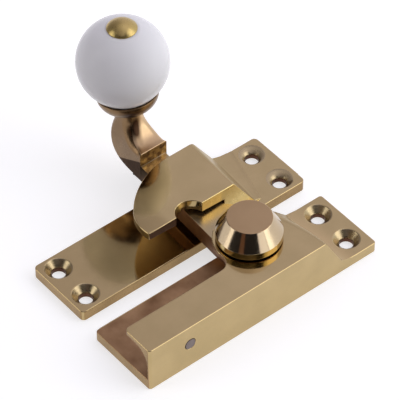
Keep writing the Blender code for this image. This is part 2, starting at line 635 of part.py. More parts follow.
def pivot_stack(brass, steel):
    centre = (PIVOT_X, PIVOT_Y)
    hole = PIVOT_RADIUS + BOLT_CLEARANCE
    bottom = BASE_THICKNESS + SEAT_GAP
    thickness = LEVER_WASHER_THICKNESS
    washer("lever_washer_bottom", hole, LEVER_WASHER_RADIUS, bottom, thickness, centre, material=steel)
    bottom = HUB_TOP + SEAT_GAP
    washer("lever_washer_top", hole, LEVER_WASHER_RADIUS, bottom, thickness, centre, material=steel)
    bottom = ROOF_TOP + SEAT_GAP
    washer("cap_washer", hole, CAP_WASHER_RADIUS, bottom, CAP_WASHER_THICKNESS, centre, material=steel)

    cone = PIVOT_HEAD_RADIUS - PIVOT_RADIUS
    profile = [
        (0, PIVOT_HEAD_SINK),
        (PIVOT_HEAD_RADIUS, PIVOT_HEAD_SINK),
        (PIVOT_RADIUS, PIVOT_HEAD_SINK + cone),
        (PIVOT_RADIUS, PIVOT_TOP - SEAT_GAP),
        (0, PIVOT_TOP - SEAT_GAP),
    ]
    bolt = turned("pivot_bolt", profile, (*centre, 0), material=steel)
    half = PIVOT_SLOT_WIDTH / 2
    reach = PIVOT_HEAD_RADIUS + OVERRUN
    slot = [(PIVOT_X - half, PIVOT_Y - reach), (PIVOT_X + half, PIVOT_Y - reach)]
    slot += [(PIVOT_X + half, PIVOT_Y + reach), (PIVOT_X - half, PIVOT_Y + reach)]
    boolean(bolt, prism("slot_cutter", slot, -OVERRUN, PIVOT_HEAD_SINK + PIVOT_SLOT_DEPTH), "DIFFERENCE")

    profile = [
        (0, PIVOT_TOP),
        (hole, PIVOT_TOP),
        (hole, CAP_BOTTOM),
        (CAP_RADIUS, CAP_BOTTOM),
        (CAP_RADIUS, CAP_BOTTOM + CAP_RIM),
        (CAP_TOP_RADIUS, CAP_TOP),
        (0, CAP_TOP),
    ]
    turned("pivot_cap", profile, (*centre, 0), material=brass)


def leaf_spring(steel):
    """A strip that lies on the front wall at its rivet and bows out to the flat of the heel."""
    half = SPRING_THICKNESS / 2
    wall_line = WALL_INSIDE + 2 * SEAT_GAP + half
    heel_line = PIVOT_Y - HEEL_FRONT - SEAT_GAP - half
    rivet_x = LEFT_END + RIVET_FROM_LEFT
    start = rivet_x - SPRING_TAIL
    leaves_wall = rivet_x + SPRING_FLAT
    reaches_heel = PIVOT_X - SPRING_BOW
    end = PIVOT_X + SPRING_REACH
    line = [(start, wall_line), (leaves_wall, wall_line)]
    for step in range(1, 2 * ARC_STEPS + 1):
        share = step / (2 * ARC_STEPS)
        x = leaves_wall + (reaches_heel - leaves_wall) * share
        line.append((x, wall_line + (heel_line - wall_line) * ease(share)))
    line.append((PIVOT_X + SPRING_BEARING, heel_line))
    line.append((end, heel_line - SPRING_CURL))
    sides = ([], [])
    for i, (x, y) in enumerate(line):
        before = Vector(line[max(i - 1, 0)])
        after = Vector(line[min(i + 1, len(line) - 1)])
        along = (after - before).normalized()
        sides[0].append((x + along.y * half, y - along.x * half))
        sides[1].append((x - along.y * half, y + along.x * half))
    outline = sides[0] + sides[1][::-1]
    low = RIVET_HEIGHT - SPRING_WIDTH / 2
    spring = prism("leaf_spring", outline, low, low + SPRING_WIDTH, material=steel)
    hole = RIVET_SHANK_RADIUS + BOLT_CLEARANCE
    profile = [(0, 0), (hole, 0), (hole, 2 * SPRING_THICKNESS), (0, 2 * SPRING_THICKNESS)]
    place = (rivet_x, wall_line - SPRING_THICKNESS, RIVET_HEIGHT)
    cutter = turned("spring_hole_cutter", profile, place, axis=(0, 1, 0), steps=HOLE_STEPS)
    boolean(spring, cutter, "DIFFERENCE")

    shoulder = FRONT_WALL + SEAT_GAP
    inner = FRONT_WALL + 3 * SEAT_GAP + SPRING_THICKNESS
    profile = [
        (0, 0),
        (RIVET_RADIUS, 0),
        (RIVET_RADIUS, shoulder),
        (RIVET_SHANK_RADIUS, shoulder),
        (RIVET_SHANK_RADIUS, inner),
        (RIVET_HEAD_RADIUS, inner),
        (RIVET_SHANK_RADIUS, inner + RIVET_HEAD),
        (0, inner + RIVET_HEAD),
    ]
    place = (rivet_x, FRONT, RIVET_HEIGHT)
    turned("spring_rivet", profile, place, axis=(0, 1, 0), steps=HOLE_STEPS, material=steel)


def main():
    clear_scene()
    brass = make_material("polished_brass", (0.69, 0.51, 0.27), 1.0, 0.12)
    ceramic = make_material("white_ceramic", (0.80, 0.79, 0.80), 0.0, 0.08)
    steel = make_material("bright_steel", (0.50, 0.48, 0.47), 1.0, 0.30)
    fibre = make_material("fibre", (0.20, 0.12, 0.08), 0.0, 0.80)
    pivot = bpy.data.objects.new("lever_pivot", None)
    pivot.location = (PIVOT_X, PIVOT_Y, 0)
    bpy.context.scene.collection.objects.link(pivot)
    hook_plate(brass)
    lever_body(brass)
    lever_arm(brass, pivot)
    knob(ceramic, brass, fibre, pivot)
    pivot_stack(brass, steel)
    leaf_spring(steel)


main()
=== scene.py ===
"""Studio scene of the window sash lock: dressed castings, turned parts, procedural finishes and soft light.

Metres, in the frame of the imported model. The castings are made from their solids, with their sharp edges
eased. The cap, knob and rivet are turned again with finer profiles.
"""

import math
from collections import namedtuple
from enum import IntEnum

import bmesh
import bpy
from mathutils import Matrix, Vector


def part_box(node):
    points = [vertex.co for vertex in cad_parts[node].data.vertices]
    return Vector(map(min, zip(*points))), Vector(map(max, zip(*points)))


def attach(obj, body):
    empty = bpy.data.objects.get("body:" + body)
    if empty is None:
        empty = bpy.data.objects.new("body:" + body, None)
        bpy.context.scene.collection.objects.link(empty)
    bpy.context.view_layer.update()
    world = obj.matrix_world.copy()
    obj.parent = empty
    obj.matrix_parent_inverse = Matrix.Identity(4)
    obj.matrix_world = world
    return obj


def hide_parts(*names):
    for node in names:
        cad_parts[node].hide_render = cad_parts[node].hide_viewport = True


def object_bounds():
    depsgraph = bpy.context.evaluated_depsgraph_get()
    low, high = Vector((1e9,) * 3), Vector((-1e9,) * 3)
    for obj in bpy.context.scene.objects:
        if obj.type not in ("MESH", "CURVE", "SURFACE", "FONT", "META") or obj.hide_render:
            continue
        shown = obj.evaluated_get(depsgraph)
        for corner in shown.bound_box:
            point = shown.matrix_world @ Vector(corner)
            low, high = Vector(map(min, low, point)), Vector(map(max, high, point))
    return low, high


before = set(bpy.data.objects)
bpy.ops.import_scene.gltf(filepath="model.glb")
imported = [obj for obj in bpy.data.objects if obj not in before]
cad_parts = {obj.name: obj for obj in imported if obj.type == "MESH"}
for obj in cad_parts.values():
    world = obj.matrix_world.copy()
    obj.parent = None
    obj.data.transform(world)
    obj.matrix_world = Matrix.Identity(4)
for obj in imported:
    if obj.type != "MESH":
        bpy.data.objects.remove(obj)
cad_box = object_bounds()

# Edges and facets
WELD = 0.000001  # points nearer than this are one
FLAT_ANGLE = math.radians(0.3)  # faces that turn less than this are one face
SHARP_ANGLE = math.radians(32)  # edges that turn more than this are eased, or shaded sharp on turned parts
SHADE_ANGLE = math.radians(50)  # edges that turn more than this after easing are shaded sharp
STRAIGHT_HALF = math.radians(89)  # half the angle at a profile's corner that is too straight to round
PLANE_SLACK = 0.00005  # how far a face may lie from the plane it is looked for in
FLAT_WEIGHT = 100  # pull of the large faces on the shading of their edges
TURN_STEPS = 96
FILLET_STEPS = 5
DOME_STEPS = 16
EASE_STEPS = 3
EASE_PROFILE = 0.5  # round
EDGE_WIDTH = 0.00022  # easing of a casting's edges
ARM_EDGE_WIDTH = 0.00018

# How a face is turned, as shares of its normal along an axis
FACING = 0.9  # least share of a face that looks along the axis
UPRIGHT = 0.3  # most share along Z of a face that stands
BORE_UP = 0.5  # most share along Z in a screw hole's bore, and least in its mouth
RAMP_RIGHT = 0.02  # least share along X on a ramp
RAMP_UP = (0.1, 0.9998)  # least and most share along Z on a ramp
RAMP_ASIDE = 0.3  # most share along Y on a ramp
GOLD_HIGHLIGHT_FRONT = -0.2  # most share along Y of the hook's faces with a painted gold highlight
GOLD_HIGHLIGHT_LEFT = -0.1  # least share along X of the hook's faces with a painted gold highlight
SHADED_FLANK_LEFT = -0.4  # most share along X of the lever's flank that is painted darker as shade
CONE_UP = (0.3, 0.8)  # least and most share along Z on the cap's cone

# Places in the castings
BODY_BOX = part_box("lever_body")
PLATE_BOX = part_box("hook_plate")
PLATE_BACK = PLATE_BOX[1].y
HOOK_TOP = PLATE_BOX[1].z
HOLE_RADIUS = 0.00175
MOUTH_RADIUS = 0.0034
PAD_HOLES = ((0.03045, 0.00575), (0.03045, -0.00485))
PLATE_HOLES = ((-0.0299, 0.02105), (-0.0299, 0.03175), (0.03105, 0.02105), (0.03105, 0.03175))
CHANNEL_END = 0.01345
FRONT_WALL = 0.0010
PLATE_TOP = 0.0031
PLATE_BEHIND = 0.0183  # the pillar stands behind this
PLATE_CORNER = 0.0006  # radius of the solid's corners
PLATE_WORN_CORNER = 0.0012  # polishing has worn the plate's corners rounder
TOE_LEFT = 0.0205  # the toe of the pillar's ramp lies right of this
TOE_LEAST = 0.0006  # a step lower than this keeps its sharp edges
TOE_TOP = 0.0048  # the toe of the body's ramp lies below this
EASE_END = 0.0006  # how far behind the pillar's front the end of an eased edge may show
PILLAR_LEFT = 0.01105
PILLAR_FRONT = 0.01855
NOTCH_LEFT = -0.0030  # the hook's tip lies left of this
ARM_TOP = 0.0100
STEM_FRONT = 0.0407
ROUGH_SHADE_LINE = 0.0115  # height to which the stem's sides are rough and painted as shade, at its front face
ROUGH_SHADE_FALL = 0.54  # how fast that height falls towards the back
CUP_FOOT = 0.0215

# Knob, cap and rivet, where the frame doesn't give the size
BALL_TOP_FLAT = 0.0041
BALL_BOTTOM_FLAT = 0.0040
BALL_HOLE = 0.00175
BOLT_RADIUS = 0.0016
BOLT_TIP_EDGE = 0.0003
HEAD_EDGE = 0.0002  # height of the head's straight edge
HEAD_DOME = 0.0018
HEAD_RIM_EDGE = 0.0001
CAP_RIM = 0.00195
CAP_TOP_RADIUS = 0.0056
CAP_BORE = 0.00265
CAP_BORE_DEPTH = 0.0045
CAP_LOW_EDGE = 0.0002
CAP_EDGE = 0.00025
RIVET_FACE = 0.00145  # closed up tight in its hole
RIVET_SHANK = 0.0009
RIVET_SHOULDER = 0.0011
RIVET_EDGE = 0.0002

# Finishes of the castings, in the order of their material slots
Finish = IntEnum(
    "Finish",
    "POLISHED CAST MACHINED BORED SATIN PITTED ROUGH LINISHED DULL FLANK BRUSHED GOLD STAINED DUBBED",
    start=0,
)

# Noise in the finishes
EVEN = (1, 1, 1)
DRAWN = (1, 0.2, 1)  # grain drawn out along Y
LEVEL = (0.03, 0.03, 1)  # grain drawn out level, which shows as rings in a countersink
TONE_SPAN = (0.35, 0.65)  # part of the noise over which a colour changes
VALUE_SPAN = (0.3, 0.7)  # part of the noise over which a roughness or a patch changes
DRIFT_PATCHES = 130  # in a metre
DRIFT_DETAIL = 3
GRAIN_DETAIL = 4
FINE_DEPTH = 0.00002

# A metal has two tones, its least and most roughness, the number of grains in a metre,
# the strength and depth of its relief, and how its grain is stretched
Metal = namedtuple("Metal", "dark light roughness grain relief depth stretch", defaults=(FINE_DEPTH, EVEN))
POLISHED_BRASS = Metal((0.475, 0.355, 0.172), (0.515, 0.385, 0.19), (0.08, 0.12), 900, 0.03)
CASTING_METALS = {
    Finish.POLISHED: POLISHED_BRASS,
    Finish.CAST: Metal(
        (0.245, 0.135, 0.067), (0.44, 0.27, 0.142), (0.40, 0.52), 1100, 0.15, 0.00005, DRAWN
    ),
    Finish.MACHINED: Metal(
        (0.43, 0.335, 0.19), (0.475, 0.37, 0.21), (0.25, 0.33), 9000, 0.05, stretch=LEVEL
    ),
    # Painted shade: the bores of the screw holes are near black
    Finish.BORED: Metal((0.09, 0.04, 0.024), (0.15, 0.068, 0.038), (0.40, 0.55), 2500, 0.3, 0.00004),
    Finish.SATIN: Metal((0.57, 0.395, 0.22), (0.63, 0.44, 0.25), (0.32, 0.40), 900, 0.02),
    # Painted shade: the lever's foot is near black, standing in for the shaded floor it reflects
    Finish.ROUGH: Metal((0.032, 0.022, 0.014), (0.060, 0.042, 0.027), (0.30, 0.42), 1400, 0.15, 0.00005),
    Finish.LINISHED: Metal((0.42, 0.318, 0.158), (0.457, 0.345, 0.175), (0.36, 0.44), 900, 0.03),
    # Painted shade: left ends and front edges are dull and darker, for the shaded floor they reflect
    Finish.DULL: Metal((0.306, 0.198, 0.085), (0.377, 0.248, 0.109), (0.22, 0.32), 1100, 0.08, 0.00003),
    # Painted shade: a darker copy of the satin finish, on the lever's left flank and its cup
    Finish.FLANK: Metal((0.19, 0.118, 0.060), (0.24, 0.152, 0.078), (0.26, 0.34), 900, 0.04),
    # Painted light: the hook's shaded underside is brushed and made lighter
    Finish.BRUSHED: Metal((0.70, 0.51, 0.265), (0.78, 0.58, 0.30), (0.42, 0.52), 900, 0.04),
    # Painted highlight: the hook's front faces are bright gold
    Finish.GOLD: Metal((0.70, 0.54, 0.22), (0.80, 0.62, 0.26), (0.25, 0.35), 900, 0.04),
    # Painted shade: a darker copy of the cast finish, on the hook tip's front and the lever's left side
    Finish.STAINED: Metal(
        (0.107, 0.047, 0.021), (0.19, 0.094, 0.045), (0.40, 0.52), 1100, 0.15, 0.00005, DRAWN
    ),
}
ROUGH_SHADED_TINT = (0.77, 0.67, 0.64)  # colour of the glancing reflections on the rough metal that is painted near black as shade
TURNED_BRASS = Metal((0.41, 0.273, 0.139), (0.446, 0.30, 0.155), (0.12, 0.18), 1100, 0.03)
# Painted highlight and sheen: the cap's cone is paler and its upright sides more golden than its top
CONE_HIGHLIGHT_BRASS = Metal((0.50, 0.39, 0.25), (0.54, 0.42, 0.27), (0.10, 0.16), 1100, 0.03)
RIM_SHEEN_BRASS = Metal((0.56, 0.42, 0.17), (0.62, 0.47, 0.19), (0.12, 0.18), 1100, 0.03)
DOME_BRASS = Metal((0.42, 0.31, 0.11), (0.50, 0.37, 0.14), (0.26, 0.36), 2500, 0.10, 0.00004)
BRIGHT_STEEL = Metal((0.42, 0.40, 0.39), (0.52, 0.50, 0.48), (0.24, 0.36), 1500, 0.1, 0.00003)
RIVET_STEEL = Metal((0.19, 0.155, 0.15), (0.26, 0.215, 0.205), (0.30, 0.45), 1500, 0.2, 0.00004)
STEEL_NODES = ("pivot_bolt", "cap_washer", "lever_washer_top", "lever_washer_bottom", "leaf_spring")

# The hook's top, which polishing has dubbed off round its curved edge
DUB_CENTRE = (0.0020, 0.0210, 0)
DUB_START = 0.0074  # from that centre
DUB_END = 0.0142
DUB_RIGHT = 0.0045  # it begins left of this
DUB_LEFT = -0.0020  # and is full left of this
DUB_DEPTH = 0.00043

# Painted dark patches on the lever, with a centre and three radii: a painted reflection in its hollow,
# painted shade under its cup
DARK_PATCH_COLOUR = (0.055, 0.028, 0.015)
DARK_PATCH_LEAN = 0.3  # radians about Y
ELBOW_REFLECTION_PATCH = ((0.0058, 0.0458, 0.0175), (0.0025, 0.0080, 0.0060))
CUP_SHADE_PATCH = ((0.0034, 0.0446, 0.0244), (0.0050, 0.0060, 0.0026))

# Floor
MATT = 0.9  # roughness of the floor and the cards
FLOOR_HALF = 4.0  # from its middle to a side
FLOOR_DROP = 0.0001  # how far it lies below the object
FLOOR_COLOUR = (0.88, 0.88, 0.88)
FLOOR_SEEN = (0.60, 0.60, 0.60)  # the floor to the camera and in reflections, before its glow is added
FLOOR_GLOW = 0.61

# Light. Azimuths and elevations are in degrees, with the camera's azimuth as 0 and growing to the right
WORLD_ACROSS = (90, -25)  # azimuth and elevation of the world's right
WORLD_LEFT = (0.18, 0.17, 0.18)
WORLD_STOPS = (  # share of the way from left to right, with the colour there
    (0.322, (0.563, 0.529, 0.629)),
    (0.340, (0.717, 0.698, 0.845)),
    (0.5, (0.84, 0.79, 0.95)),
)
WORLD_RIGHT = (1.08, 1.13, 1.13)
DARK_CARD = (0.012, 0.011, 0.011)
BROWN_CARD = (0.20, 0.10, 0.05)
CARD_STEPS = 16
Card = namedtuple("Card", "start end bottom top distance colour")  # azimuths, elevations, metres
CARDS = {
    "front_opening": Card(-62, 31, -2, 50, 1.3, DARK_CARD),
    "upper_opening": Card(25, 64, 27, 60, 1.25, DARK_CARD),
    "brown_strip": Card(-31, -17, 0, 40, 1.25, BROWN_CARD),
}
SOFTBOX_DISTANCE = 1.2
Softbox = namedtuple("Softbox", "azimuth elevation width height brightness")  # 1 is as bright as white
SOFTBOXES = {
    "softbox_top": Softbox(180, 76, 1.0, 0.8, 0.2),
    "softbox_left": Softbox(-80, 22, 0.6, 0.9, 1.7),
    "softbox_right": Softbox(80, 30, 0.9, 1.3, 1.3),
    "softbox_front_right": Softbox(46, 12, 0.5, 0.55, 0.45),
}

# Camera
CAMERA_PLACE = Vector((-0.3211, -0.3775, 0.5466))
CAMERA_AIM = Vector((0.43997, 0.53685, -0.71987))
CAMERA_AZIMUTH = -39.3  # degrees, where the camera stands as seen from the object
CAMERA_LENS = 275.5  # mm
CAMERA_SENSOR = 36  # mm
CAMERA_NEAR = 0.01
CAMERA_FAR = 20


def link_object(name, mesh, body, slot, materials, *replaced):
    """A new piece that rides on a body and stands for the nodes it replaces."""
    piece = bpy.data.objects.new(name, mesh)
    bpy.context.scene.collection.objects.link(piece)
    for material in materials:
        mesh.materials.append(material)
    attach(piece, body)
    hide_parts(*replaced)
    return piece


def weigh_normals(piece):
    """Flat faces stay flat beside their eased edges."""
    modifier = piece.modifiers.new("weighted normals", "WEIGHTED_NORMAL")
    modifier.mode = "FACE_AREA_WITH_ANGLE"
    modifier.weight = FLAT_WEIGHT
    modifier.keep_sharp = True


def hole_finish(centre, normal, holes):
    """Bored, with painted shade, or machined, for a face in a screw hole, and otherwise None."""
    for x, y in holes:
        distance = math.hypot(centre.x - x, centre.y - y)
        # Painted shade in the bore
        if distance < HOLE_RADIUS + PLANE_SLACK and abs(normal.z) < BORE_UP:
            return Finish.BORED
        if distance < MOUTH_RADIUS and BORE_UP < normal.z < FACING:
            return Finish.MACHINED
    return None


def is_slope(normal):
    """True for the ramps with their rounded tops and toes, which fall to the right."""
    least, most = RAMP_UP
    return normal.x > RAMP_RIGHT and least < normal.z < most and abs(normal.y) < RAMP_ASIDE


def body_finish(centre, normal):
    """The lever body is polished, with a linished ramp, a dull left end painted darker as shade and a
    channel as cast.
    """
    found = hole_finish(centre, normal, PAD_HOLES)
    if found is not None:
        return found
    if is_slope(normal) and centre.z > TOE_TOP:
        return Finish.LINISHED
    low, high = BODY_BOX
    # Painted shade on the body's left end, which is also dull
    if normal.x < -FACING and centre.x < low.x + PLANE_SLACK:
        return Finish.DULL
    inside = low.x + PLANE_SLACK < centre.x < CHANNEL_END + PLANE_SLACK
    inside = inside and low.y + FRONT_WALL / 2 < centre.y < high.y - PLANE_SLACK
    if inside and centre.z < high.z - PLANE_SLACK:
        return Finish.CAST
    return Finish.POLISHED


def plate_finish(centre, normal):
    """The hook plate is polished, with a linished ramp and dull edges that are painted darker as shade.

    The hook has a dubbed top, painted shade on its tip's front, a painted gold highlight on its front faces
    and a brushed underside painted lighter than its shade. The left side of the pillar is as cast.
    """
    found = hole_finish(centre, normal, PLATE_HOLES)
    if found is not None:
        return found
    if is_slope(normal):
        return Finish.LINISHED
    # Painted shade on the plate's dull left and front edges
    if centre.z < PLATE_TOP and (normal.x < -FACING or normal.y < -FACING):
        return Finish.DULL
    above = centre.z > PLATE_TOP
    # Painted shade on the front of the hook's tip
    if above and normal.y < -FACING and centre.x < NOTCH_LEFT:
        return Finish.STAINED
    if normal.x < -FACING and abs(centre.x - PILLAR_LEFT) < PLANE_SLACK:
        return Finish.CAST
    if normal.z > FACING and abs(centre.z - HOOK_TOP) < PLANE_SLACK:
        return Finish.DUBBED
    # Painted highlight on the hook's front faces
    if above and normal.y < GOLD_HIGHLIGHT_FRONT and normal.x > GOLD_HIGHLIGHT_LEFT and abs(normal.z) < UPRIGHT:
        return Finish.GOLD
    # The hook's brushed underside, painted lighter than its shade
    if above and normal.z < -FACING:
        return Finish.BRUSHED
    return Finish.POLISHED


def arm_finish(centre, normal):
    """The lever has a machined top, a pitted stem and a satin elbow and cup, with painted shade on its left
    flank and cup.

    The foot of its stem is rough and painted near black as shade. The rest is as cast, with painted shade on
    the left.
    """
    if normal.z > FACING and abs(centre.z - ARM_TOP) < PLANE_SLACK:
        return Finish.MACHINED
    if abs(centre.y - STEM_FRONT) < PLANE_SLACK and centre.z > ARM_TOP:
        return Finish.PITTED
    if centre.z > ROUGH_SHADE_LINE - ROUGH_SHADE_FALL * (centre.y - STEM_FRONT) and centre.y > STEM_FRONT:
        # Painted shade on the elbow's left flank and on the cup
        return Finish.FLANK if normal.x < SHADED_FLANK_LEFT or centre.z > CUP_FOOT else Finish.SATIN
    # Painted shade: below the line and behind the hook plate, the lever is rough and near black
    if centre.y > PLATE_BACK:
        return Finish.ROUGH
    # Painted shade on the lever's left side
    return Finish.STAINED if normal.x < -FACING else Finish.CAST


def is_eased(edge, width):
    """True for a sharp edge with room for rounding, and so not for a low step or beside a thin strip."""
    if not edge.is_manifold or edge.calc_face_angle() < SHARP_ANGLE:
        return False
    if any(face.calc_area() < edge.calc_length() * width / 2 for face in edge.link_faces):
        return False
    on_toe = all(TOE_LEFT < vert.co.x and PLATE_BEHIND < vert.co.y for vert in edge.verts)
    low = all(PLATE_TOP - PLANE_SLACK < vert.co.z < PLATE_TOP + TOE_LEAST for vert in edge.verts)
    return not (on_toe and low)


def plane(place, across):
    """A plane through a place, with the direction across it."""
    return Vector(place), Vector(across).normalized()


def cut_faces(shape, planes):
    """Cut the faces along planes."""
    for place, across in planes:
        geometry = [*shape.verts, *shape.edges, *shape.faces]
        bmesh.ops.bisect_plane(shape, geom=geometry, dist=WELD, plane_co=place, plane_no=across)


def wear_corners(shape, box):
    """Make the hook plate's four upright round corners rounder, each drawn out from its corner point."""
    low, high = box
    growth = PLATE_WORN_CORNER / PLATE_CORNER
    for corner in (Vector((x, y)) for x in (low.x, high.x) for y in (low.y, high.y)):
        for vert in shape.verts:
            offset = vert.co.xy - corner
            if max(abs(offset.x), abs(offset.y)) < PLATE_CORNER + PLANE_SLACK:
                vert.co.xy = corner + offset * growth


def casting(node, body, materials, finish_of, width, finish_lines=(), easing_lines=(), worn_box=None):
    """A casting made from its solid, with its sharp edges eased and a finish on each face.

    Finishes can change along the finish lines. An eased edge's end shows no further than an easing line.
    The corners of a worn box are made rounder.
    """
    shape = bmesh.new()
    shape.from_mesh(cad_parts[node].data)
    bmesh.ops.remove_doubles(shape, verts=shape.verts, dist=WELD)
    cut_faces(shape, finish_lines)
    for face in shape.faces:
        face.material_index = finish_of(face.calc_center_median(), face.normal)
    bmesh.ops.dissolve_limit(
        shape, angle_limit=FLAT_ANGLE, verts=shape.verts, edges=shape.edges, delimit={"MATERIAL"}
    )
    if worn_box:
        wear_corners(shape, worn_box)
    cut_faces(shape, easing_lines)
    sharp = [edge for edge in shape.edges if is_eased(edge, width)]
    bmesh.ops.bevel(
        shape,
        geom=sharp,
        offset=width,
        offset_type="OFFSET",
        segments=EASE_STEPS,
        profile=EASE_PROFILE,
        affect="EDGES",
        clamp_overlap=False,
        miter_outer="ARC",
        spread=width,
        material=-1,
    )
    mesh = bpy.data.meshes.new(node + "_casting")
    shape.to_mesh(mesh)
    shape.free()
    mesh.shade_smooth()
    mesh.set_sharp_from_angle(angle=SHADE_ANGLE)
    piece = link_object(node + "_casting", mesh, body, "polished_brass", materials, node)
    weigh_normals(piece)


def filleted(profile, radii):
    """A profile whose inner corners are rounded, each to its own radius."""
    points = [Vector(profile[0])]
    for before, corner, after, radius in zip(profile, profile[1:], profile[2:], radii):
        corner = Vector(corner)
        towards = (Vector(before) - corner).normalized()
        onward = (Vector(after) - corner).normalized()
        half = towards.angle(onward) / 2
        if radius == 0 or half > STRAIGHT_HALF:
            points.append(corner)
            continue
        cut = radius / math.tan(half)
        centre = corner + (towards + onward).normalized() * radius / math.sin(half)
        start = corner + towards * cut - centre
        end = corner + onward * cut - centre
        sweep = start.angle_signed(end)
        for step in range(FILLET_STEPS + 1):
            turn = -sweep * step / FILLET_STEPS
            x = start.x * math.cos(turn) - start.y * math.sin(turn)
            y = start.x * math.sin(turn) + start.y * math.cos(turn)
            points.append(centre + Vector((x, y)))
    points.append(Vector(profile[-1]))
    return points


def turned_mesh(name, profile, origin, axis=(0, 0, 1), ring=False):
    """A profile of (radius, height) pairs turned about an axis. A ring's profile closes on itself."""
    turn = Vector((0, 0, 1)).rotation_difference(Vector(axis)).to_matrix()
    points = []
    rows = []
    for radius, height in profile:
        count = TURN_STEPS if radius > WELD else 1
        rows.append(list(range(len(points), len(points) + count)))
        for step in range(count):
            angle = 2 * math.pi * step / TURN_STEPS
            local = Vector((radius * math.cos(angle), radius * math.sin(angle), height))
            points.append(Vector(origin) + turn @ local)
    pairs = list(zip(rows, rows[1:]))
    if ring:
        pairs.append((rows[-1], rows[0]))
    faces = []
    for low, high in pairs:
        for step in range(TURN_STEPS):
            following = (step + 1) % TURN_STEPS
            corners = [low[step % len(low)], low[following % len(low)]]
            corners += [high[following % len(high)], high[step % len(high)]]
            faces.append(list(dict.fromkeys(corners)))
    mesh = bpy.data.meshes.new(name)
    mesh.from_pydata(points, [], faces)
    shape = bmesh.new()
    shape.from_mesh(mesh)
    bmesh.ops.recalc_face_normals(shape, faces=shape.faces)
    shape.to_mesh(mesh)
    shape.free()
    mesh.shade_smooth()
    mesh.set_sharp_from_angle(angle=SHARP_ANGLE)
    return mesh


def arc(radius, start, end, steps):
    """Points of a circle round the origin, with the angles in radians."""
    angles = [start + (end - start) * step / steps for step in range(steps + 1)]
    return [(radius * math.cos(angle), radius * math.sin(angle)) for angle in angles]


def knob_ball(material):
    """The ball, with its bolt hole and a flat at each end of it."""
    low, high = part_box("knob_ball")
    radius = (high.x - low.x) / 2
    top = math.sqrt(radius**2 - BALL_TOP_FLAT**2)
    bottom = math.sqrt(radius**2 - BALL_BOTTOM_FLAT**2)
    centre = Vector(((low.x + high.x) / 2, (low.y + high.y) / 2, high.z - top))
    ball = arc(radius, -math.asin(bottom / radius), math.asin(top / radius), TURN_STEPS // 2)
    profile = [(BALL_HOLE, -bottom), *ball, (BALL_HOLE, top)]
    mesh = turned_mesh("knob_ball_glazed", profile, centre, ring=True)
    piece = link_object("knob_ball_glazed", mesh, "lever", "white_ceramic", [material], "knob_ball")
    weigh_normals(piece)


def knob_bolt(material):
    """The bolt through the ball, with its domed head."""
    low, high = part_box("knob_bolt")
    head = (high.x - low.x) / 2
    edge = high.z - HEAD_DOME
    under_head = edge - HEAD_EDGE
    profile = [(0, low.z), (BOLT_RADIUS, low.z), (BOLT_RADIUS, under_head), (head, under_head), (head, edge)]
    profile = filleted(profile, (BOLT_TIP_EDGE, 0, HEAD_RIM_EDGE))
    sphere = (head**2 + HEAD_DOME**2) / (2 * HEAD_DOME)
    for step in range(1, DOME_STEPS + 1):
        angle = math.asin(head / sphere) * (1 - step / DOME_STEPS)
        profile.append(Vector((sphere * math.sin(angle), high.z - sphere * (1 - math.cos(angle)))))
    origin = ((low.x + high.x) / 2, (low.y + high.y) / 2, 0)
    mesh = turned_mesh("knob_bolt_turned", profile, origin)
    link_object("knob_bolt_turned", mesh, "lever", "polished_brass", [material], "knob_bolt")


def pivot_cap(top_material, cone_highlight_material, rim_sheen_material):
    """The cap nut: a plain top, a cone painted paler as a highlight and sides painted gold as a sheen."""
    low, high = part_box("pivot_cap")
    radius = (high.x - low.x) / 2
    profile = [
        (0, low.z + CAP_BORE_DEPTH),
        (CAP_BORE, low.z + CAP_BORE_DEPTH),
        (CAP_BORE, low.z),
        (radius, low.z),
        (radius, low.z + CAP_RIM),
        (CAP_TOP_RADIUS, high.z),
        (0, high.z),
    ]
    profile = filleted(profile, (0, CAP_LOW_EDGE, CAP_EDGE, CAP_LOW_EDGE, CAP_EDGE))
    origin = ((low.x + high.x) / 2, (low.y + high.y) / 2, 0)
    mesh = turned_mesh("pivot_cap_turned", profile, origin)
    materials = [top_material, cone_highlight_material, rim_sheen_material]
    least, most = CONE_UP
    for polygon in mesh.polygons:
        if least < polygon.normal.z < most:
            polygon.material_index = materials.index(cone_highlight_material)
        elif abs(polygon.normal.z) < least:
            polygon.material_index = materials.index(rim_sheen_material)
    piece = link_object("pivot_cap_turned", mesh, "root", "polished_brass", materials, "pivot_cap")
    weigh_normals(piece)


def spring_rivet(material):
    """The rivet that holds the spring, flush with the front face."""
    low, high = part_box("spring_rivet")
    depth = high.y - low.y
    profile = [
        (0, 0),
        (RIVET_FACE, 0),
        (RIVET_FACE, RIVET_SHOULDER),
        (RIVET_SHANK, RIVET_SHOULDER),
        (RIVET_SHANK, depth),
        (0, depth),
    ]
    profile = filleted(profile, (0, 0, 0, RIVET_EDGE))
    origin = ((low.x + high.x) / 2, low.y, (low.z + high.z) / 2)
    mesh = turned_mesh("spring_rivet_turned", profile, origin, axis=(0, 1, 0))
    link_object("spring_rivet_turned", mesh, "root", "bright_steel", [material], "spring_rivet")


def new_material(name):
    """A material with its node tree and its shader."""
    material = bpy.data.materials.new(name)
    material.use_nodes = True
    return material, material.node_tree, material.node_tree.nodes["Principled BSDF"]


def noise(tree, scale, detail, stretch=EVEN):
    """Noise in the object's own metres. Scale is the number of grains in a metre."""
    coordinates = tree.nodes.new("ShaderNodeTexCoord")
    mapping = tree.nodes.new("ShaderNodeMapping")
    mapping.inputs["Scale"].default_value = stretch
    texture = tree.nodes.new("ShaderNodeTexNoise")
    texture.inputs["Scale"].default_value = scale
    texture.inputs["Detail"].default_value = detail
    tree.links.new(coordinates.outputs["Object"], mapping.inputs["Vector"])
    tree.links.new(mapping.outputs["Vector"], texture.inputs["Vector"])
    return texture.outputs["Fac"]


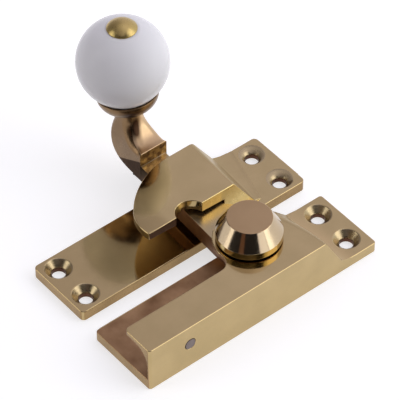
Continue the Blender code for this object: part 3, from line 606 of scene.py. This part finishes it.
def colour_range(tree, factor, low, high):
    """A colour that follows the noise from low to high."""
    ramp = tree.nodes.new("ShaderNodeValToRGB")
    for element, position, colour in zip(ramp.color_ramp.elements, TONE_SPAN, (low, high)):
        element.position = position
        element.color = (*colour, 1)
    tree.links.new(factor, ramp.inputs["Fac"])
    return ramp.outputs["Color"]


def remapped(tree, value, start, end, low=0, high=1, interpolation="LINEAR"):
    """A value that goes from low to high while another goes from start to end."""
    remap = tree.nodes.new("ShaderNodeMapRange")
    remap.interpolation_type = interpolation
    remap.inputs["From Min"].default_value = start
    remap.inputs["From Max"].default_value = end
    remap.inputs["To Min"].default_value = low
    remap.inputs["To Max"].default_value = high
    tree.links.new(value, remap.inputs["Value"])
    return remap.outputs["Result"]


def value_range(tree, factor, low, high):
    """A value that follows the noise from low to high."""
    return remapped(tree, factor, *VALUE_SPAN, low, high)


def maths(tree, operation, first, second):
    """One operation on two values."""
    node = tree.nodes.new("ShaderNodeMath")
    node.operation = operation
    tree.links.new(first, node.inputs[0])
    tree.links.new(second, node.inputs[1])
    return node.outputs["Value"]


def vector_maths(tree, operation, vector, constant, output):
    """One operation on a vector and a constant one, whose output is called Vector or Value."""
    node = tree.nodes.new("ShaderNodeVectorMath")
    node.operation = operation
    node.inputs[1].default_value = constant
    tree.links.new(vector, node.inputs[0])
    return node.outputs[output]


def bump(tree, height, shader, strength, distance):
    """Relief in a shader's surface."""
    node = tree.nodes.new("ShaderNodeBump")
    node.inputs["Strength"].default_value = strength
    node.inputs["Distance"].default_value = distance
    tree.links.new(height, node.inputs["Height"])
    tree.links.new(node.outputs["Normal"], shader.inputs["Normal"])


def metal(name, kind):
    """A metal whose colour drifts between two tones, with a fine grain in its roughness and relief."""
    material, tree, shader = new_material(name)
    shader.inputs["Metallic"].default_value = 1.0
    drift = noise(tree, DRIFT_PATCHES, DRIFT_DETAIL)
    tree.links.new(colour_range(tree, drift, kind.dark, kind.light), shader.inputs["Base Color"])
    grain = noise(tree, kind.grain, GRAIN_DETAIL, kind.stretch)
    tree.links.new(value_range(tree, grain, *kind.roughness), shader.inputs["Roughness"])
    bump(tree, grain, shader, kind.relief, kind.depth)
    return material


def paint_dark_patches(material):
    """Soft painted dark patches: a painted reflection in the lever's hollow and painted shade under its cup.
    """
    tree = material.node_tree
    tone = tree.nodes["Principled BSDF"].inputs["Base Color"]
    for centre, radii in (ELBOW_REFLECTION_PATCH, CUP_SHADE_PATCH):
        coordinates = tree.nodes.new("ShaderNodeTexCoord")
        mapping = tree.nodes.new("ShaderNodeMapping")
        mapping.vector_type = "TEXTURE"
        mapping.inputs["Location"].default_value = centre
        mapping.inputs["Rotation"].default_value = (0, DARK_PATCH_LEAN, 0)
        mapping.inputs["Scale"].default_value = radii
        patch = tree.nodes.new("ShaderNodeTexGradient")
        patch.gradient_type = "SPHERICAL"
        mix = tree.nodes.new("ShaderNodeMixRGB")
        mix.inputs["Color2"].default_value = (*DARK_PATCH_COLOUR, 1)
        tree.links.new(coordinates.outputs["Object"], mapping.inputs["Vector"])
        tree.links.new(mapping.outputs["Vector"], patch.inputs["Vector"])
        tree.links.new(value_range(tree, patch.outputs["Fac"], 0, 1), mix.inputs["Fac"])
        tree.links.new(tone.links[0].from_socket, mix.inputs["Color1"])
        tree.links.new(mix.outputs["Color"], tone)


def pitted_brass():
    """The stem's front face, as cast: gold with dark pits."""
    material, tree, shader = new_material("pitted_brass_finish")
    shader.inputs["Metallic"].default_value = 1.0
    pits = noise(tree, scale=900, detail=4)
    tone = colour_range(tree, pits, low=(0.16, 0.085, 0.035), high=(0.62, 0.42, 0.17))
    tree.links.new(tone, shader.inputs["Base Color"])
    tree.links.new(value_range(tree, pits, low=0.45, high=0.28), shader.inputs["Roughness"])
    bump(tree, pits, shader, strength=0.35, distance=0.0001)
    return material


def dubbed_brass():
    """Polished brass on the hook's top, which falls away a little towards the curved edge."""
    material = metal("dubbed_brass_finish", POLISHED_BRASS)
    tree = material.node_tree
    normal = tree.nodes["Principled BSDF"].inputs["Normal"]
    place = tree.nodes.new("ShaderNodeTexCoord").outputs["Object"]
    flat = vector_maths(tree, "MULTIPLY", place, (1, 1, 0), "Vector")
    distance = vector_maths(tree, "DISTANCE", flat, DUB_CENTRE, "Value")
    share = remapped(tree, distance, DUB_START, DUB_END)
    along = tree.nodes.new("ShaderNodeSeparateXYZ")
    tree.links.new(place, along.inputs["Vector"])
    fade = remapped(tree, along.outputs["X"], DUB_RIGHT, DUB_LEFT, interpolation="SMOOTHSTEP")
    fall = maths(tree, "MULTIPLY", maths(tree, "MULTIPLY", share, share), fade)
    relief = tree.nodes.new("ShaderNodeBump")
    relief.invert = True
    relief.inputs["Distance"].default_value = DUB_DEPTH
    tree.links.new(fall, relief.inputs["Height"])
    tree.links.new(normal.links[0].from_socket, relief.inputs["Normal"])
    tree.links.new(relief.outputs["Normal"], normal)
    return material


def casting_materials():
    """The finishes of the castings, in the order of their material slots."""
    materials = {}
    for finish, kind in CASTING_METALS.items():
        materials[finish] = metal(f"{finish.name.lower()}_brass_finish", kind)
    rough_shaded_shader = materials[Finish.ROUGH].node_tree.nodes["Principled BSDF"]
    rough_shaded_shader.inputs["Specular Tint"].default_value = (*ROUGH_SHADED_TINT, 1)
    paint_dark_patches(materials[Finish.SATIN])
    paint_dark_patches(materials[Finish.FLANK])
    materials[Finish.PITTED] = pitted_brass()
    materials[Finish.DUBBED] = dubbed_brass()
    return [materials[finish] for finish in Finish]


def glazed_ceramic():
    """White glaze with a faint orange peel."""
    material, tree, shader = new_material("glazed_ceramic")
    drift = noise(tree, scale=60, detail=2)
    tone = colour_range(tree, drift, low=(0.79, 0.785, 0.785), high=(0.83, 0.825, 0.82))
    tree.links.new(tone, shader.inputs["Base Color"])
    shader.inputs["Specular IOR Level"].default_value = 0.12
    orange_peel = noise(tree, scale=350, detail=2)
    tree.links.new(value_range(tree, orange_peel, low=0.06, high=0.12), shader.inputs["Roughness"])
    bump(tree, orange_peel, shader, strength=0.05, distance=0.00002)
    return material


def fibre_board():
    """Brown fibre, with its fibres lying flat."""
    material, tree, shader = new_material("fibre_board")
    fibres = noise(tree, scale=1500, detail=5, stretch=(1, 1, 4))
    tone = colour_range(tree, fibres, low=(0.10, 0.06, 0.04), high=(0.20, 0.12, 0.08))
    tree.links.new(tone, shader.inputs["Base Color"])
    tree.links.new(value_range(tree, fibres, low=0.7, high=0.9), shader.inputs["Roughness"])
    bump(tree, fibres, shader, strength=0.4, distance=0.0001)
    return material


def dress(node, material):
    """A better finish on a solid whose shape is right."""
    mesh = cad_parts[node].data
    mesh.materials.clear()
    mesh.materials.append(material)


def matt_material(name, colour):
    """A plain matt colour, for the floor and the cards."""
    material, tree, shader = new_material(name)
    shader.inputs["Base Color"].default_value = (*colour, 1)
    shader.inputs["Roughness"].default_value = MATT
    return material, tree, shader


def floor_material():
    """Pale floor that the camera and reflections see as white, with the object's shadow kept."""
    material, tree, shader = matt_material("studio_floor", FLOOR_COLOUR)
    path = tree.nodes.new("ShaderNodeLightPath")
    seen = maths(tree, "MAXIMUM", path.outputs["Is Camera Ray"], path.outputs["Is Glossy Ray"])
    seen = maths(tree, "MAXIMUM", seen, path.outputs["Is Transmission Ray"])
    shadow = tree.nodes.new("ShaderNodeBsdfDiffuse")
    shadow.inputs["Color"].default_value = (*FLOOR_SEEN, 1)
    glow = tree.nodes.new("ShaderNodeEmission")
    glow.inputs["Strength"].default_value = FLOOR_GLOW
    white = tree.nodes.new("ShaderNodeAddShader")
    tree.links.new(shadow.outputs[0], white.inputs[0])
    tree.links.new(glow.outputs[0], white.inputs[1])
    mix = tree.nodes.new("ShaderNodeMixShader")
    tree.links.new(seen, mix.inputs["Fac"])
    tree.links.new(shader.outputs[0], mix.inputs[1])
    tree.links.new(white.outputs[0], mix.inputs[2])
    tree.links.new(mix.outputs[0], tree.nodes["Material Output"].inputs["Surface"])
    return material


def from_camera(azimuth, elevation, distance):
    """A place round the object. Azimuth 0 is the camera's own and grows to the picture's right."""
    turn = math.radians(CAMERA_AZIMUTH + azimuth)
    rise = math.radians(elevation)
    out = Vector((math.sin(turn) * math.cos(rise), -math.cos(turn) * math.cos(rise), math.sin(rise)))
    return out * distance


def studio_floor():
    """A large square floor just below the object."""
    mesh = bpy.data.meshes.new("studio_floor")
    level = cad_box[0].z - FLOOR_DROP
    sides = ((-1, -1), (1, -1), (1, 1), (-1, 1))
    corners = [(x * FLOOR_HALF, y * FLOOR_HALF, level) for x, y in sides]
    mesh.from_pydata(corners, [], [(0, 1, 2, 3)])
    mesh.materials.append(floor_material())
    floor = bpy.data.objects.new("studio_floor", mesh)
    bpy.context.scene.collection.objects.link(floor)


def add_card(name, card):
    """A curved card that brass reflects, between two azimuths and elevations. The camera doesn't see it."""
    points = []
    faces = []
    for step in range(CARD_STEPS + 1):
        azimuth = card.start + (card.end - card.start) * step / CARD_STEPS
        foot = from_camera(azimuth, 0, card.distance)
        for elevation in (card.bottom, card.top):
            points.append(foot + Vector((0, 0, card.distance * math.tan(math.radians(elevation)))))
    for step in range(CARD_STEPS):
        faces.append((2 * step, 2 * step + 2, 2 * step + 3, 2 * step + 1))
    mesh = bpy.data.meshes.new(name)
    mesh.from_pydata(points, [], faces)
    material, _, _ = matt_material(name, card.colour)
    mesh.materials.append(material)
    screen = bpy.data.objects.new(name, mesh)
    screen.visible_camera = False
    bpy.context.scene.collection.objects.link(screen)


def add_softbox(name, box):
    """An area lamp whose face has the given brightness. The camera doesn't see it."""
    lamp = bpy.data.lights.new(name, "AREA")
    lamp.shape = "RECTANGLE"
    lamp.size = box.width
    lamp.size_y = box.height
    lamp.energy = box.brightness * math.pi * box.width * box.height
    stand = bpy.data.objects.new(name, lamp)
    stand.location = from_camera(box.azimuth, box.elevation, SOFTBOX_DISTANCE)
    stand.rotation_mode = "QUATERNION"
    stand.rotation_quaternion = (-stand.location).to_track_quat("-Z", "Y")
    stand.visible_camera = False
    bpy.context.scene.collection.objects.link(stand)


def studio_world():
    """Soft light from all round, darker above and on the picture's left."""
    world = bpy.data.worlds.new("studio")
    bpy.context.scene.world = world
    world.use_nodes = True
    tree = world.node_tree
    direction = tree.nodes.new("ShaderNodeTexCoord").outputs["Generated"]
    across = vector_maths(tree, "DOT_PRODUCT", direction, from_camera(*WORLD_ACROSS, 1), "Value")
    ramp = tree.nodes.new("ShaderNodeValToRGB")
    ramp.color_ramp.elements[0].color = (*WORLD_LEFT, 1)
    ramp.color_ramp.elements[1].color = (*WORLD_RIGHT, 1)
    for place, colour in WORLD_STOPS:
        ramp.color_ramp.elements.new(place).color = (*colour, 1)
    tree.links.new(remapped(tree, across, -1, 1), ramp.inputs["Fac"])
    tree.links.new(ramp.outputs["Color"], tree.nodes["Background"].inputs["Color"])


def studio_camera():
    """The camera at the photograph's viewing angle."""
    data = bpy.data.cameras.new("camera")
    data.sensor_width = CAMERA_SENSOR
    data.lens = CAMERA_LENS
    data.clip_start = CAMERA_NEAR
    data.clip_end = CAMERA_FAR
    camera = bpy.data.objects.new("camera", data)
    camera.location = CAMERA_PLACE
    camera.rotation_mode = "QUATERNION"
    camera.rotation_quaternion = CAMERA_AIM.to_track_quat("-Z", "Y")
    bpy.context.scene.collection.objects.link(camera)
    bpy.context.scene.camera = camera


def studio():
    """Floor, light and camera."""
    studio_world()
    studio_floor()
    for name, card in CARDS.items():
        add_card(name, card)
    for name, box in SOFTBOXES.items():
        add_softbox(name, box)
    studio_camera()
    bpy.context.scene.view_settings.view_transform = "Standard"


def castings():
    """The hook plate, the lever body and the lever arm."""
    materials = casting_materials()
    behind_front = plane((0, PILLAR_FRONT + EASE_END, 0), (0, 1, 0))
    casting(
        "hook_plate",
        "root",
        materials,
        plate_finish,
        EDGE_WIDTH,
        easing_lines=(behind_front,),
        worn_box=PLATE_BOX,
    )
    casting("lever_body", "root", materials, body_finish, EDGE_WIDTH)
    # Below this line the lever's sides are rough and painted dark as shade
    rough_shade_line = plane((0, STEM_FRONT, ROUGH_SHADE_LINE), (0, ROUGH_SHADE_FALL, 1))
    plate_back = plane((0, PLATE_BACK, 0), (0, 1, 0))
    arm_top = plane((0, 0, ARM_TOP), (0, 0, 1))
    arm_lines = (rough_shade_line, plate_back, arm_top)
    casting("lever_arm", "lever", materials, arm_finish, ARM_EDGE_WIDTH, finish_lines=arm_lines)


def main():
    """Make the pieces and the studio."""
    castings()
    pivot_cap(
        metal("turned_brass_finish", TURNED_BRASS),
        metal("cone_highlight_brass_finish", CONE_HIGHLIGHT_BRASS),
        metal("rim_sheen_brass_finish", RIM_SHEEN_BRASS),
    )
    knob_ball(glazed_ceramic())
    knob_bolt(metal("dome_brass_finish", DOME_BRASS))
    spring_rivet(metal("rivet_steel_finish", RIVET_STEEL))
    steel = metal("bright_steel_finish", BRIGHT_STEEL)
    for node in STEEL_NODES:
        dress(node, steel)
    dress("knob_seat_washer", fibre_board())
    studio()


main()
